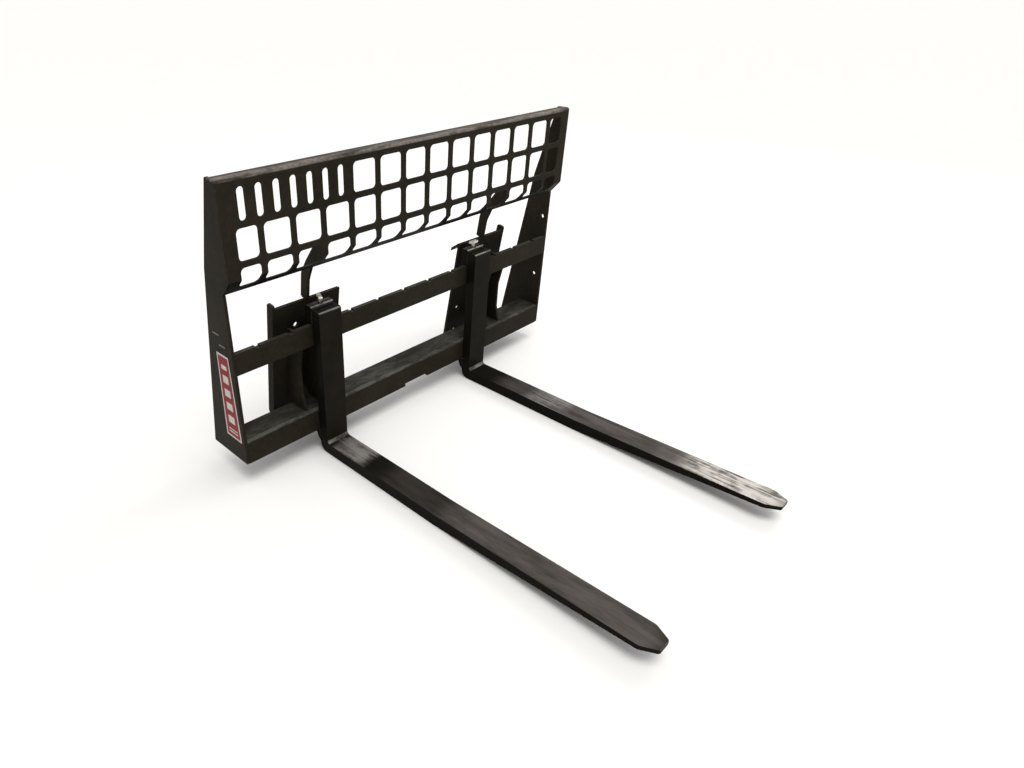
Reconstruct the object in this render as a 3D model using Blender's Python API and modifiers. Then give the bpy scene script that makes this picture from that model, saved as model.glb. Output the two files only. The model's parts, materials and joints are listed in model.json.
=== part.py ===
"""Pallet fork attachment for a skid steer loader, as separate named pieces.

Axes: +X to the right of someone facing the guard, forks towards -Y, +Z up.
The world origin is on the floor, in the middle of the footprint. Shapes are drawn
in carriage coordinates: zero is the lower carriage bar's front bottom edge, in the
middle of the frame. One empty, carriage_datum, puts them in their place above the floor.
"""

import math

import bmesh
import bpy
from mathutils import Matrix, Vector

# --- Driving dimensions, in metres -------------------------------------------------
GAP = 0.0003                     # left between pieces that touch

FRAME_WIDTH = 1.524              # 60 in over the side plates
FRAME_HEIGHT = 0.901             # lower bar's bottom edge to the top of the guard
SIDE_DEPTH = 0.196               # side plate, front to back along its bottom edge
SIDE_THICKNESS = 0.010
SIDE_KINK = (0.083, 0.641)       # where the side plate's back edge changes slope
SIDE_HORN = 0.012                # how far its top corner stands behind the flange
SIDE_HOLES = ((0.0235, 0.475), (0.036, 0.222))   # Y and Z, in the right plate only
SIDE_HOLE_RADIUS = 0.008

LOWER_BAR_HEIGHT = 0.083
UPPER_BAR_HEIGHT = 0.0724
BAR_THICKNESS = 0.016
CARRIAGE_HEIGHT = 0.395          # over both bars
BAR_TOP_RADIUS = 0.009           # rounded front top edge of the lower bar
NOTCH_PITCH = 0.122
NOTCH_FIRST = NOTCH_PITCH / 2    # nearest locking notch to the middle of the frame
NOTCH_COUNT = 6                  # on each side
NOTCH_WIDTH = 0.0145
NOTCH_TAPER = 0.0004             # narrower at the floor, on each side
NOTCH_FLOOR_RADIUS = 0.002
NOTCH_DEPTH = 0.006
REMOVAL_NOTCH_WIDTH = 0.118      # in the lower bar, where a fork's hook drops off
REMOVAL_NOTCH_DEPTH = 0.012
STEP_DEPTH = 0.098               # back edge of the step plate, from the bars' front
STEP_THICKNESS = 0.0095

GUARD_THICKNESS = 0.006
GUARD_STEP = 0.0386              # guard's face in front of the bars' front
GUARD_BEND_Z = 0.6256            # where the flap starts
GUARD_FOOT_Z = 0.5818            # flap's lower edge
GUARD_FLANGE = 0.0352            # depth of the top flange
GUARD_BEND_RADIUS = 0.009
WINDOW_PITCH = 0.1068
GUARD_BAR = 0.018                # width of the bars between windows
WINDOW_END = 0.7185              # outer edge of the end windows
WINDOW_RADIUS = 0.014
RAIL_LOW_Z = 0.6676              # middle of the rail under the middle row
RAIL_HIGH_Z = 0.775              # middle of the rail under the top row
WINDOW_TOP_Z = 0.873
WINDOW_BOTTOM_Z = 0.597
COLUMNS = 14
PANEL_COLUMNS = 4                # top row columns that the slotted panel takes
PANEL_SLOTS = 7
PANEL_SLOT_SHARE = 0.42          # width of a slot, as a share of the pitch

GUSSET_X = 0.430
GUSSET_THICKNESS = 0.010
GUSSET_RISE = 0.045              # how far it runs up the guard above the bend

COUPLER_INNER_X = 0.297          # inner edge of each coupler plate
COUPLER_OUTER_X = 0.564
COUPLER_THICKNESS = 0.0095
COUPLER_TOP = (0.071, 0.4515)    # front face of the coupler web, Y and Z
COUPLER_FOOT = (0.1328, 0.034)
WEB_BEVEL = (0.018, 0.005)       # at the top of the web's back: down it, and into it
COUPLER_FLANGE_DEPTH = 0.031
COUPLER_FLANGE_RISE = 0.012
LIP_LENGTH = 0.042
LIP_ANGLE = math.radians(35)     # below the horizontal
PIN_PLATE_DEPTH = 0.052
PIN_PLATE_DROP = 0.020           # how far it falls towards its back edge
PIN_SLOT = (0.046, 0.020)
WEB_HOLES = ((0.474, 0.083), (0.349, 0.294), (0.351, 0.402))   # X, and distance down
WEB_HOLE_RADIUS = 0.009
RIB_X = (0.430, 0.505)
RIB_THICKNESS = 0.010
RIB_RECESS_Y = 0.034             # front edge of a rib between the two bars
RIB_LAP = 0.045                  # how far a rib runs up the back of the upper bar

FORK_WIDTH = 0.0884
FORK_THICKNESS = 0.038
FORK_CLEARANCE = 0.002           # shank's back face to the bars
BLADE_LENGTH = 1.2192            # 48 in from the shank's front face
SHANK_TOP_Z = 0.4475
BLADE_TOP_Z = -0.0405
BLADE_BOTTOM_Z = -0.081
TIP_TOP_Z = -0.019
TIP_THICKNESS = 0.013
TAPER_START = 0.500              # from the shank's front face
NOSE_LENGTH = 0.046
SHOULDER_RADIUS = 0.025
NOSE_RADIUS = 0.010
NOSE_HALF_WIDTH = 0.021
HEEL_OUTER_RADIUS = 0.032
HEEL_INNER_RADIUS = 0.014
FORK_NOTCH = {"left": 3, "right": 2}   # the notch that each fork stands over

HOOK_DEPTH = 0.031               # back face of the hooks, from the bars' front
HOOK_CLEARANCE = 0.0015
HOOK_LIP = 0.016                 # how far a hook reaches behind its bar
UPPER_HOOK_TOP_Z = 0.457
LOWER_HOOK_LIP_Z = 0.012         # top of the lower hook, behind its bar
LOWER_HOOK_BACK = ((0.019, -0.018), (0.0127, -0.036))   # Y and Z down its back
LOWER_HOOK_BOTTOM_Z = -0.048

LOCK_Y = 0.011
LOCK_PIN_RADIUS = 0.0065
LOCK_PIN_CHAMFER = 0.002
LOCK_BORE_RADIUS = 0.0071
LOCK_STEM_RADIUS = 0.0045
LOCK_SLEEVE_RADIUS = 0.0055      # the stem below the handle
LOCK_COLLAR_RADIUS = 0.0093
LOCK_COLLAR_HEIGHT = 0.004
LOCK_CHAMBER_RADIUS = 0.0100
LOCK_TRAVEL = 0.0055
LOCK_CHAMBER = (0.409, 0.4485)   # floor and ceiling of the spring's chamber, Z
LOCK_CLEARANCE = 0.0008          # above the bar when parked, and below the collar
LOCK_STEM_TOP_Z = 0.4815
BUSH_RECESS = 0.001              # the bush sits this far below the hook's top
BUSH_BORE_RADIUS = 0.0061
HANDLE_LENGTH = 0.040
HANDLE_HEIGHT = 0.010
HANDLE_WIDTH = 0.012
HANDLE_TURN = {"left": 65, "right": 0}           # degrees about the pin
SPRING_TURNS = 4
SPRING_TURN_POINTS = 12
SPRING_WIRE_RADIUS = 0.0011

BORE_SIDES = 32
ARC_STEP = math.radians(18)

# --- Where the carriage stands in the world ----------------------------------------
TIP_Y = -(FORK_CLEARANCE + FORK_THICKNESS + BLADE_LENGTH)
CARRIAGE_Y = -(TIP_Y + SIDE_DEPTH) / 2
CARRIAGE_Z = -BLADE_BOTTOM_Z

BLACK_PAINT = (0.012, 0.012, 0.012)
DARK_PAINT = (0.018, 0.017, 0.016)
WORN_STEEL = (0.10, 0.095, 0.09)
ZINC = (0.62, 0.60, 0.56)

ALONG_Y = (math.pi / 2, 0, 0)              # outline in X and Z, thickness along Y
ALONG_X = (math.pi / 2, 0, math.pi / 2)    # outline in Y and Z, thickness along X
ALONG_Z = (0, 0, 0)                        # outline in X and Y, thickness along Z


# --- Scene, collections and materials ----------------------------------------------
def clear_scene():
    for item in list(bpy.data.objects):
        bpy.data.objects.remove(item, do_unlink=True)


def new_collection(name):
    collection = bpy.data.collections.new(name)
    bpy.context.scene.collection.children.link(collection)
    return collection


def new_datum():
    datum = bpy.data.objects.new("carriage_datum", None)
    datum.location = (0, CARRIAGE_Y, CARRIAGE_Z)
    PARTS.objects.link(datum)
    return datum


def paint(name, colour, roughness, metallic=0.0):
    material = bpy.data.materials.new(name)
    material.use_nodes = True
    shader = material.node_tree.nodes["Principled BSDF"]
    shader.inputs["Base Color"].default_value = (*colour, 1)
    shader.inputs["Roughness"].default_value = roughness
    shader.inputs["Metallic"].default_value = metallic
    return material


# --- Outlines ----------------------------------------------------------------------
def rounded(corners):
    """Points of a closed outline. A corner is (x, y) or (x, y, radius)."""
    points = []
    for index, corner in enumerate(corners):
        here = Vector(corner[:2])
        if len(corner) == 2:
            points.append(tuple(here))
            continue
        to_last = (Vector(corners[index - 1][:2]) - here).normalized()
        to_next = (Vector(corners[(index + 1) % len(corners)][:2]) - here).normalized()
        points += arc_points(here, to_last, to_next, corner[2])
    return points


def arc_points(corner, to_last, to_next, radius):
    """The arc that rounds one corner between its two directions."""
    half = to_last.angle(to_next) / 2
    centre = corner + (to_last + to_next).normalized() * radius / math.sin(half)
    start = corner + to_last * radius / math.tan(half) - centre
    end = corner + to_next * radius / math.tan(half) - centre
    sweep = start.angle_signed(end)
    count = max(2, math.ceil(abs(sweep) / ARC_STEP))
    return [
        tuple(centre + Matrix.Rotation(-sweep * step / count, 2) @ start)
        for step in range(count + 1)
    ]


def bent_strip(path, thickness):
    """Closed outline of a sheet whose outer face follows path; it lies to the left."""
    inner = []
    for index, point in enumerate(path):
        here = Vector(point)
        before = Vector(path[max(index - 1, 0)])
        after = Vector(path[min(index + 1, len(path) - 1)])
        ahead = (after - here).normalized() if index < len(path) - 1 else None
        behind = (here - before).normalized() if index else None
        along = ((ahead or behind) + (behind or ahead)).normalized()
        lean = along.dot(ahead or behind)
        inner.append(tuple(here + Vector((-along.y, along.x)) * thickness / lean))
    return list(path) + inner[::-1]


def bend_path(corners, radius):
    """An open path whose inner corners are rounded."""
    path = [tuple(corners[0])]
    for last, here, after in zip(corners, corners[1:], corners[2:]):
        corner = Vector(here)
        to_last = (Vector(last) - corner).normalized()
        to_next = (Vector(after) - corner).normalized()
        path += arc_points(corner, to_last, to_next, radius)
    return path + [tuple(corners[-1])]


def rectangle(low, high, radius=None):
    corners = [low, (high[0], low[1]), high, (low[0], high[1])]
    return rounded([(*corner, radius) for corner in corners] if radius else corners)


# --- Solids ------------------------------------------------------------------------
def finish_object(name, mesh, material, collection=None, parent=None):
    item = bpy.data.objects.new(name, mesh)
    mesh.name = name
    if material:
        mesh.materials.append(material)
    (collection or PARTS).objects.link(item)
    item.parent = parent or DATUM
    return item


def extruded(name, outlines, facing, low, high, material, parent=None, collection=None):
    """Plate or bar: 2D outlines, extruded from low to high along the third axis."""
    curve = bpy.data.curves.new(name, "CURVE")
    curve.dimensions = "2D"
    curve.fill_mode = "BOTH"
    curve.extrude = (high - low) / 2
    for outline in outlines:
        spline = curve.splines.new("POLY")
        spline.points.add(len(outline) - 1)
        for point, (x, y) in zip(spline.points, outline):
            point.co = (x, y, 0, 1)
        spline.use_cyclic_u = True
    guide = bpy.data.objects.new(name + "_outline", curve)
    guide.rotation_euler = facing
    middle = (high + low) / 2
    guide.location = {
        ALONG_X: (middle, 0, 0), ALONG_Y: (0, middle, 0), ALONG_Z: (0, 0, middle)
    }[facing]
    bpy.context.scene.collection.objects.link(guide)
    mesh = mesh_of(guide)
    return finish_object(name, mesh, material, collection, parent)


def mesh_of(guide):
    """Mesh of a curve or modified object in its parent's axes, caps welded on."""
    bpy.context.view_layer.update()
    evaluated = guide.evaluated_get(bpy.context.evaluated_depsgraph_get())
    mesh = bpy.data.meshes.new_from_object(evaluated)
    mesh.transform(guide.matrix_world)
    bpy.data.objects.remove(guide, do_unlink=True)
    shape = bmesh.new()
    shape.from_mesh(mesh)
    bmesh.ops.remove_doubles(shape, verts=shape.verts, dist=1e-5)
    bmesh.ops.recalc_face_normals(shape, faces=shape.faces)
    shape.to_mesh(mesh)
    shape.free()
    return mesh


def block(name, low, high, material, parent=None, collection=None):
    size = [b - a for a, b in zip(low, high)]
    middle = [(a + b) / 2 for a, b in zip(low, high)]
    shape = bmesh.new()
    bmesh.ops.create_cube(shape, size=1)
    bmesh.ops.scale(shape, verts=shape.verts, vec=size)
    bmesh.ops.translate(shape, verts=shape.verts, vec=middle)
    mesh = bpy.data.meshes.new(name)
    shape.to_mesh(mesh)
    shape.free()
    return finish_object(name, mesh, material, collection, parent)


def turned(name, profile, centre, material, parent=None, collection=None):
    """Round piece about a vertical axis; profile is (radius, z) from top to bottom."""
    mesh = bpy.data.meshes.new(name + "_profile")
    edges = [(index, index + 1) for index in range(len(profile) - 1)]
    mesh.from_pydata([(radius, 0, z) for radius, z in profile], edges, [])
    guide = bpy.data.objects.new(name + "_profile", mesh)
    bpy.context.scene.collection.objects.link(guide)
    screw = guide.modifiers.new("turn", "SCREW")
    screw.steps = BORE_SIDES
    screw.render_steps = BORE_SIDES
    screw.use_merge_vertices = True
    screw.merge_threshold = 1e-5
    guide.location = centre
    mesh = mesh_of(guide)
    item = finish_object(name, mesh, material, collection, parent)
    mesh.shade_smooth()
    mesh.set_sharp_from_angle(angle=math.radians(40))
    return item


def drill(item, number, radius, reach, turn, centre):
    """Cuts a round hole, its axis turned from vertical."""
    profile = [(0, reach), (radius, reach), (radius, -reach), (0, -reach)]
    name = f"{item.name}_drill_{number}"
    cutter = turned(name, profile, (0, 0, 0), None, collection=CUTTERS)
    cutter.rotation_euler = turn
    cutter.location = centre
    cut(item, cutter)


def cut(item, cutter):
    cutter.hide_render = True
    cutter.display_type = "WIRE"
    boolean = item.modifiers.new(cutter.name, "BOOLEAN")
    boolean.object = cutter
    boolean.operation = "DIFFERENCE"
    boolean.solver = "EXACT"


def side_name(name, side):
    return f"{name}_{'left' if side < 0 else 'right'}"


# --- Frame -------------------------------------------------------------------------
def guard_path():
    """Outer face of the guard sheet in Y and Z, from the flap's foot to the flange."""
    corners = [
        (0, GUARD_FOOT_Z),
        (-GUARD_STEP, GUARD_BEND_Z),
        (-GUARD_STEP, FRAME_HEIGHT),
        (-GUARD_STEP + GUARD_FLANGE, FRAME_HEIGHT),
    ]
    return bend_path(corners, GUARD_BEND_RADIUS)


def column_edges(column):
    """Left and right edge of one column of windows."""
    left = (column - COLUMNS / 2) * WINDOW_PITCH + GUARD_BAR / 2
    right = left + WINDOW_PITCH - GUARD_BAR
    return max(left, -WINDOW_END), min(right, WINDOW_END)


def window_outlines():
    half = GUARD_BAR / 2
    rows = [
        (WINDOW_BOTTOM_Z, RAIL_LOW_Z - half, 0),
        (RAIL_LOW_Z + half, RAIL_HIGH_Z - half, 0),
        (RAIL_HIGH_Z + half, WINDOW_TOP_Z, PANEL_COLUMNS),
    ]
    outlines = []
    for bottom, top, first_column in rows:
        for column in range(first_column, COLUMNS):
            left, right = column_edges(column)
            outlines.append(rectangle((left, bottom), (right, top), WINDOW_RADIUS))
    return outlines


def panel_slot_outlines():
    """A plain row of upright round-ended slots across the panel."""
    left = column_edges(0)[0]
    right = column_edges(PANEL_COLUMNS - 1)[1]
    pitch = (right - left) / PANEL_SLOTS
    width = pitch * PANEL_SLOT_SHARE
    bottom = RAIL_HIGH_Z + GUARD_BAR / 2
    outlines = []
    for slot in range(PANEL_SLOTS):
        middle = left + (slot + 0.5) * pitch
        low = (middle - width / 2, bottom)
        high = (middle + width / 2, WINDOW_TOP_Z)
        outlines.append(rectangle(low, high, width * 0.48))
    return outlines


def make_guard():
    half_width = FRAME_WIDTH / 2
    outline = bent_strip(guard_path(), -GUARD_THICKNESS)
    guard = extruded(
        "brick_guard", [outline], ALONG_X, -half_width, half_width, FRAME_PAINT
    )
    outlines = window_outlines() + panel_slot_outlines()
    cutter = extruded(
        "guard_windows", outlines, ALONG_Y, -0.1, 0.06, None, collection=CUTTERS
    )
    cut(guard, cutter)


def behind_guard(offset):
    """Y and Z of the guard's back face, plus offset, at the bend and at the flap's foot."""
    clear = GUARD_THICKNESS + offset
    slope = Vector((-GUARD_STEP, GUARD_BEND_Z - GUARD_FOOT_Z)).normalized()
    normal = Vector((slope.y, -slope.x))
    foot = Vector((0, GUARD_FOOT_Z)) + normal * clear
    bend_y = -GUARD_STEP + clear
    bend_z = foot.y + (bend_y - foot.x) * slope.y / slope.x
    return (bend_y, bend_z), tuple(foot)


def make_side_plates():
    bend, foot = behind_guard(GAP)
    top = FRAME_HEIGHT - GUARD_THICKNESS - GAP
    flange_back = -GUARD_STEP + GUARD_FLANGE
    front_z = GUARD_FOOT_Z - 0.004
    outline = rounded([
        (0, 0, 0.004),
        (SIDE_DEPTH, 0),
        SIDE_KINK,
        (flange_back + SIDE_HORN, FRAME_HEIGHT, 0.005),
        (flange_back + GAP, FRAME_HEIGHT),
        (flange_back + GAP, top),
        (bend[0], top, 0.006),
        bend,
        foot,
        (0, front_z),
    ])
    for side in (-1, 1):
        outer = side * FRAME_WIDTH / 2
        inner = side * (FRAME_WIDTH / 2 - SIDE_THICKNESS)
        low, high = sorted((outer, inner))
        name = side_name("side_plate", side)
        plate = extruded(name, [outline], ALONG_X, low, high, FRAME_PAINT)
    for number, (y, z) in enumerate(SIDE_HOLES):
        centre = ((low + high) / 2, y, z)
        drill(plate, number, SIDE_HOLE_RADIUS, 0.02, (0, math.pi / 2, 0), centre)


def notch_positions():
    for side in (-1, 1):
        for number in range(NOTCH_COUNT):
            yield side * (NOTCH_FIRST + number * NOTCH_PITCH)


def make_upper_bar():
    reach = FRAME_WIDTH / 2 - SIDE_THICKNESS - GAP
    bottom = CARRIAGE_HEIGHT - UPPER_BAR_HEIGHT
    top = CARRIAGE_HEIGHT
    half = NOTCH_WIDTH / 2
    corners = [(-reach, bottom), (reach, bottom), (reach, top)]
    for middle in sorted(notch_positions(), reverse=True):
        corners += [
            (middle + half, top),
            (middle + half - NOTCH_TAPER, top - NOTCH_DEPTH, NOTCH_FLOOR_RADIUS),
            (middle - half + NOTCH_TAPER, top - NOTCH_DEPTH, NOTCH_FLOOR_RADIUS),
            (middle - half, top),
        ]
    corners.append((-reach, top))
    extruded(
        "upper_carriage_bar", [rounded(corners)], ALONG_Y, 0, BAR_THICKNESS, FRAME_PAINT
    )


def make_lower_bar():
    reach = FRAME_WIDTH / 2 - SIDE_THICKNESS - GAP
    outline = rounded([
        (0, 0),
        (BAR_THICKNESS, 0),
        (BAR_THICKNESS, LOWER_BAR_HEIGHT),
        (0, LOWER_BAR_HEIGHT, BAR_TOP_RADIUS),
    ])
    bar = extruded("lower_carriage_bar", [outline], ALONG_X, -reach, reach, FRAME_PAINT)
    half = REMOVAL_NOTCH_WIDTH / 2
    low = (-half, -0.01, -0.01)
    high = (half, BAR_THICKNESS + 0.01, REMOVAL_NOTCH_DEPTH)
    cut(bar, block("removal_notch", low, high, None, collection=CUTTERS))


def make_step_plate():
    reach = FRAME_WIDTH / 2 - SIDE_THICKNESS - GAP
    low = (-reach, BAR_THICKNESS + GAP, LOWER_BAR_HEIGHT - STEP_THICKNESS)
    high = (reach, STEP_DEPTH, LOWER_BAR_HEIGHT)
    block("step_plate", low, high, FRAME_PAINT)


def make_gussets():
    bend, foot = behind_guard(GAP)
    web_top = COUPLER_TOP[1] + 0.002
    outline = rounded([
        (bend[0], bend[1] + GUSSET_RISE),
        bend,
        foot,
        (0.031, 0.572, 0.020),
        (0.055, 0.520, 0.040),
        (0.0655, web_top),
        (0.100, web_top),
        (0.088, 0.538, 0.040),
        (0.058, 0.584, 0.030),
        (0.020, 0.634, 0.030),
        (-0.022, bend[1] + GUSSET_RISE),
    ])
    half = GUSSET_THICKNESS / 2
    for side in (-1, 1):
        middle = side * GUSSET_X
        name = side_name("guard_gusset", side)
        extruded(name, [outline], ALONG_X, middle - half, middle + half, FRAME_PAINT)


# --- Loader coupler plates ---------------------------------------------------------
def web_frame():
    """Unit vectors along the leaning web: down its face, and backwards from it."""
    down = (Vector(COUPLER_FOOT) - Vector(COUPLER_TOP)).normalized()
    return down, Vector((-down.y, down.x))


def on_web(distance_down, distance_back):
    down, back = web_frame()
    point = Vector(COUPLER_TOP) + down * distance_down + back * distance_back
    return tuple(point)


def web_length():
    return (Vector(COUPLER_FOOT) - Vector(COUPLER_TOP)).length


def make_coupler(side):
    inner = side * COUPLER_INNER_X
    outer = side * COUPLER_OUTER_X
    flange_inner = side * (COUPLER_OUTER_X - COUPLER_THICKNESS)
    web_low, web_high = sorted((inner, flange_inner - side * GAP))
    make_web(side, web_low, web_high)
    make_lip(side, web_low, web_high)
    make_pin_plate(side, web_low, web_high)
    make_coupler_flange(side, *sorted((outer, flange_inner)))
    for number, rib_x in zip(("inner", "outer"), RIB_X):
        make_rib(side_name(f"coupler_rib_{number}", side), side * rib_x)


def make_web(side, low, high):
    length = web_length()
    outline = [
        on_web(0, 0),
        on_web(length, 0),
        on_web(length, COUPLER_THICKNESS),
        on_web(WEB_BEVEL[0], COUPLER_THICKNESS),
        on_web(0, COUPLER_THICKNESS - WEB_BEVEL[1]),
    ]
    web = extruded(side_name("coupler_web", side), [outline], ALONG_X, low, high, FRAME_PAINT)
    for number, (x, down) in enumerate(WEB_HOLES):
        centre = (side * x, *on_web(down, COUPLER_THICKNESS / 2))
        drill(web, number, WEB_HOLE_RADIUS, 0.03, (math.pi / 2, 0, 0), centre)


def make_lip(side, low, high):
    """Sloping top lip that the loader's coupler plate hooks under."""
    along = Vector((math.cos(LIP_ANGLE), -math.sin(LIP_ANGLE)))
    up = Vector((-along.y, along.x))
    root = Vector(on_web(0, COUPLER_THICKNESS + GAP))
    down = web_frame()[0]
    foot = root + down * (COUPLER_THICKNESS / up.dot(-down))
    outline = [
        tuple(root),
        tuple(foot),
        tuple(foot + along * LIP_LENGTH),
        tuple(root + along * LIP_LENGTH),
    ]
    name = side_name("coupler_top_lip", side)
    extruded(name, [outline], ALONG_X, low, high, FRAME_PAINT)


def make_pin_plate(side, low, high):
    """Bottom plate with the slot that the loader's locking pin drops into."""
    length = web_length()
    top_front = Vector(on_web(length, 0)) + Vector((0, -GAP))
    outline = [
        tuple(top_front),
        tuple(top_front + Vector((0, -COUPLER_THICKNESS))),
        (top_front.x + PIN_PLATE_DEPTH, top_front.y - COUPLER_THICKNESS - PIN_PLATE_DROP),
        (top_front.x + PIN_PLATE_DEPTH, top_front.y - PIN_PLATE_DROP),
    ]
    name = side_name("coupler_pin_plate", side)
    plate = extruded(name, [outline], ALONG_X, low, high, FRAME_PAINT)
    middle_x = (low + high) / 2
    middle_y = top_front.x + PIN_PLATE_DEPTH * 0.55
    slot_low = (middle_x - PIN_SLOT[0] / 2, middle_y - PIN_SLOT[1] / 2, top_front.y - 0.06)
    slot_high = (middle_x + PIN_SLOT[0] / 2, middle_y + PIN_SLOT[1] / 2, top_front.y + 0.03)
    cut(plate, block(name + "_slot", slot_low, slot_high, None, collection=CUTTERS))


def make_coupler_flange(side, low, high):
    length = web_length()
    outline = rounded([
        (*on_web(-COUPLER_FLANGE_RISE, 0), 0.008),
        (*on_web(length, 0), 0.004),
        (*on_web(length, COUPLER_FLANGE_DEPTH), 0.012),
        (*on_web(-COUPLER_FLANGE_RISE, COUPLER_FLANGE_DEPTH), 0.008),
    ])
    name = side_name("coupler_flange", side)
    extruded(name, [outline], ALONG_X, low, high, FRAME_PAINT)


def make_rib(name, middle):
    """Rib that ties the leaning web to the bars and the step plate."""
    half = RIB_THICKNESS / 2
    bar_back = BAR_THICKNESS + GAP
    step_top = LOWER_BAR_HEIGHT + GAP
    bar_foot = CARRIAGE_HEIGHT - UPPER_BAR_HEIGHT

    def web_front(z):
        share = (COUPLER_TOP[1] - z) / (COUPLER_TOP[1] - COUPLER_FOOT[1])
        return COUPLER_TOP[0] + share * (COUPLER_FOOT[0] - COUPLER_TOP[0]) - GAP

    outline = rounded([
        (bar_back + 0.002, step_top),
        (STEP_DEPTH, step_top),
        (web_front(step_top + 0.03), step_top + 0.03),
        (web_front(bar_foot + RIB_LAP), bar_foot + RIB_LAP),
        (bar_back, bar_foot + RIB_LAP),
        (bar_back, bar_foot - 0.004),
        (RIB_RECESS_Y, bar_foot - 0.080, 0.05),
        (RIB_RECESS_Y, step_top + 0.060, 0.04),
    ])
    extruded(name, [outline], ALONG_X, middle - half, middle + half, FRAME_PAINT)


# --- Forks -------------------------------------------------------------------------
def make_fork(side):
    label = "left" if side < 0 else "right"
    x = side * (NOTCH_FIRST + FORK_NOTCH[label] * NOTCH_PITCH)
    low, high = x - FORK_WIDTH / 2, x + FORK_WIDTH / 2
    make_fork_arm(label, x, low, high)
    make_hooks(label, x, low, high)
    make_lock(label, x)


def make_fork_arm(label, x, low, high):
    back = -FORK_CLEARANCE
    front = back - FORK_THICKNESS
    outline = rounded([
        (back, SHANK_TOP_Z, 0.003),
        (front, SHANK_TOP_Z, 0.006),
        (front, BLADE_TOP_Z, HEEL_INNER_RADIUS),
        (front - TAPER_START, BLADE_TOP_Z),
        (TIP_Y, TIP_TOP_Z, 0.004),
        (TIP_Y, TIP_TOP_Z - TIP_THICKNESS, 0.004),
        (front - TAPER_START, BLADE_BOTTOM_Z),
        (back, BLADE_BOTTOM_Z, HEEL_OUTER_RADIUS),
    ])
    arm = extruded(f"fork_arm_{label}", [outline], ALONG_X, low, high, FORK_PAINT)
    for edge, toward in ((low, -1), (high, 1)):
        name = f"nose_cut_{label}_{'low' if toward < 0 else 'high'}"
        outline = nose_outline(x, edge, toward)
        foot = TIP_TOP_Z - 0.05
        top = TIP_TOP_Z + 0.05
        cut(arm, extruded(name, [outline], ALONG_Z, foot, top, None, collection=CUTTERS))


def nose_outline(x, edge, toward):
    """What is cut from one side of the blade's nose, whose two corners are rounded."""
    shoulder = Vector((edge, TIP_Y + NOSE_LENGTH))
    corner = Vector((x + toward * NOSE_HALF_WIDTH, TIP_Y))
    slope = (corner - shoulder).normalized()
    points = arc_points(shoulder, Vector((0, 1)), slope, SHOULDER_RADIUS)
    points += arc_points(corner, -slope, Vector((-toward, 0)), NOSE_RADIUS)
    spare = 0.02
    outside = edge + toward * spare
    beyond = TIP_Y - spare
    return points + [(points[-1][0], beyond), (outside, beyond), (outside, points[0][1])]


def make_hooks(label, x, low, high):
    bar_top = CARRIAGE_HEIGHT + HOOK_CLEARANCE
    behind_bar = BAR_THICKNESS + HOOK_CLEARANCE
    front = -FORK_CLEARANCE + GAP
    upper = rounded([
        (front, UPPER_HOOK_TOP_Z, 0.006),
        (front, bar_top),
        (behind_bar, bar_top),
        (behind_bar, CARRIAGE_HEIGHT - HOOK_LIP),
        (HOOK_DEPTH, CARRIAGE_HEIGHT - HOOK_LIP, 0.004),
        (HOOK_DEPTH, UPPER_HOOK_TOP_Z, 0.010),
    ])
    hook = extruded(f"upper_hook_{label}", [upper], ALONG_X, low, high, FORK_PAINT)
    floor, ceiling = LOCK_CHAMBER
    bush_radius = LOCK_CHAMBER_RADIUS + 0.0005
    profile = [
        (0, UPPER_HOOK_TOP_Z + 0.01),
        (bush_radius, UPPER_HOOK_TOP_Z + 0.01),
        (bush_radius, ceiling),
        (LOCK_CHAMBER_RADIUS, ceiling),
        (LOCK_CHAMBER_RADIUS, floor),
        (LOCK_BORE_RADIUS, floor),
        (LOCK_BORE_RADIUS, bar_top - 0.01),
        (0, bar_top - 0.01),
    ]
    cut(hook, turned(f"lock_bore_{label}", profile, (x, LOCK_Y, 0), None, collection=CUTTERS))

    lower = rounded([
        (front, -HOOK_CLEARANCE),
        (front, LOWER_HOOK_BOTTOM_Z),
        *((*point, 0.010) for point in reversed(LOWER_HOOK_BACK)),
        (HOOK_DEPTH, -HOOK_CLEARANCE, 0.006),
        (HOOK_DEPTH, LOWER_HOOK_LIP_Z, 0.004),
        (behind_bar, LOWER_HOOK_LIP_Z),
        (behind_bar, -HOOK_CLEARANCE),
    ])
    extruded(f"lower_hook_{label}", [lower], ALONG_X, low, high, FORK_PAINT)


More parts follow.
